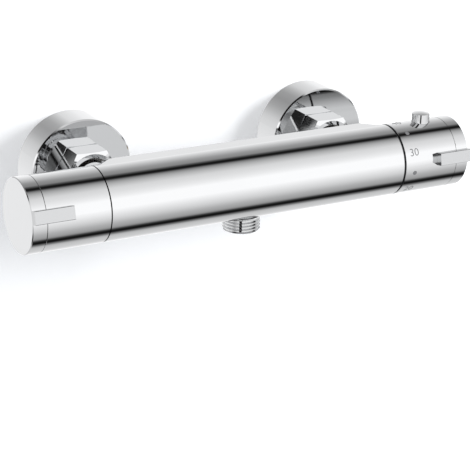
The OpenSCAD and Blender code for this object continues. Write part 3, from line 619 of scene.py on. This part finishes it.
# Smaller cards, high on the left and far to the right, draw the dark lines on bevels and edges.
front = wband(to_room, 0.42, 0.48, 0.64, 0.70)
high = wtimes(wstep(sky_z, 0.28, 0.38), front, winv(wstep(sky_x, -0.16, -0.06)))
strip = wtimes(wband(sky_z, 0.76, 0.82, 0.90, 0.94), front, winv(wstep(sky_x, 0.12, 0.22)))
far = wtimes(wstep(sky_x, 0.76, 0.82), wstep(sky_y, 0.12, 0.20), wstep(sky_z, -0.05, 0.08))
clear = wtimes(clear, winv(wmath("MAXIMUM", wmath("MAXIMUM", high, strip), far)))
clear = wmath("MAXIMUM", wtimes(clear, 0.985), 0.015)

# The wall's side is darker to the upper left, where the flanges shade it.
SHADE = [
    (-180, 0.92), (-128, 0.92), (-100, 0.87), (-80, 0.83), (-60, 0.70), (-40, 0.55), (-20, 0.48),
    (0, 0.57), (12, 0.72), (20, 0.85), (28, 0.98), (36, 1.0), (180, 1.0),
]
shade = wmix(wstep(sky_y, 0.15, 0.45), (1, 1, 1, 1), wramp(wmath("ARCTAN2", sky_x, sky_z), SHADE))

# Metal sees the studio, other surfaces are lit by a plain sky, and the camera sees white.
studio = wlight(wtint(wscale(light, clear), shade), 1 / PLATING[1])
sky = wlight((0.97, 0.985, 1.0, 1), 0.66)
white = wlight((1, 1, 1, 1), 1.0)
path = wt.nodes.new("ShaderNodeLightPath")
seen = wmath("MAXIMUM", path.outputs["Is Camera Ray"], path.outputs["Is Transmission Ray"])
out = wt.nodes.new("ShaderNodeOutputWorld")
surface = wchoose(seen, wchoose(path.outputs["Is Glossy Ray"], sky, studio), white)
wt.links.new(surface, out.inputs["Surface"])

data = bpy.data.lights.new("key", "AREA")
data.shape = "DISK"
data.size = 0.36
data.energy = 8.0
key = bpy.data.objects.new("key", data)
scene.collection.objects.link(key)
key.location = (0.72, -0.62, 0.27)
key.rotation_euler = (Vector((-0.02, 0.0, -0.02)) - key.location).to_track_quat("-Z", "Y").to_euler()
key.visible_glossy = False


# ---------------------------------------------------------------- wall and floor

def backdrop(name, lift):
    """White to the camera, with the object's soft shadow; metal sees the studio through it."""
    m = bpy.data.materials.new(name)
    m.use_nodes = True
    t = m.node_tree
    t.nodes.clear()

    def node(kind, *inputs):
        n = t.nodes.new("ShaderNode" + kind)
        for socket, value in zip(n.inputs, inputs):
            t.links.new(value, socket)
        return n

    noise = node("TexNoise", t.nodes.new("ShaderNodeTexCoord").outputs["Object"])
    noise.inputs["Scale"].default_value = 3.0
    tone = node("ValToRGB", noise.outputs["Fac"])
    tone.color_ramp.elements[0].color = (0.80, 0.81, 0.83, 1)
    tone.color_ramp.elements[1].color = (0.82, 0.83, 0.845, 1)
    matt = node("BsdfDiffuse", tone.outputs["Color"]).outputs[0]
    glow = node("Emission")
    glow.inputs["Strength"].default_value = lift
    rays = node("LightPath").outputs
    lit = node("AddShader", matt, glow.outputs[0]).outputs[0]
    own = node("MixShader", rays["Is Camera Ray"], matt, lit).outputs[0]
    through = node("Math", node("NewGeometry").outputs["Backfacing"], rays["Is Glossy Ray"])
    through.operation = "MAXIMUM"
    clear = node("BsdfTransparent").outputs[0]
    final = node("MixShader", through.outputs[0], own, clear).outputs[0]
    node("OutputMaterial", final)
    return m


def sheet(name, corners, lift):
    mesh = bpy.data.meshes.new(name)
    mesh.from_pydata(corners, [], [tuple(range(len(corners)))])
    mesh.materials.append(backdrop(name, lift))
    ob = bpy.data.objects.new(name, mesh)
    scene.collection.objects.link(ob)


W, H, LOW = 3.0, 2.5, -1.1
sheet("studio_wall", [(-W, 0, LOW), (W, 0, LOW), (W, 0, H), (-W, 0, H)], 0.30)
sheet("studio_floor", [(-W, -W, LOW), (W, -W, LOW), (W, 0, LOW), (-W, 0, LOW)], 0.46)


# ---------------------------------------------------------------- camera

CAMERA_AT = (-0.43124, -0.80900, 0.30147 + AXIS_Z)
yaw, pitch, roll = (math.radians(a) for a in (29.84, -21.23, 2.01))
fwd = Vector((math.sin(yaw) * math.cos(pitch), math.cos(yaw) * math.cos(pitch), math.sin(pitch)))
level_right = fwd.cross(Vector((0, 0, 1))).normalized()
level_up = level_right.cross(fwd)
right = level_right * math.cos(roll) + level_up * math.sin(roll)
up = level_up * math.cos(roll) - level_right * math.sin(roll)
cam_data = bpy.data.cameras.new("camera")
cam_data.lens = 129.14
cam_data.sensor_width = 36.0
cam = bpy.data.objects.new("camera", cam_data)
scene.collection.objects.link(cam)
cam.matrix_world = Matrix([(right[i], up[i], -fwd[i], CAMERA_AT[i]) for i in range(3)] + [(0, 0, 0, 1)])
scene.camera = cam
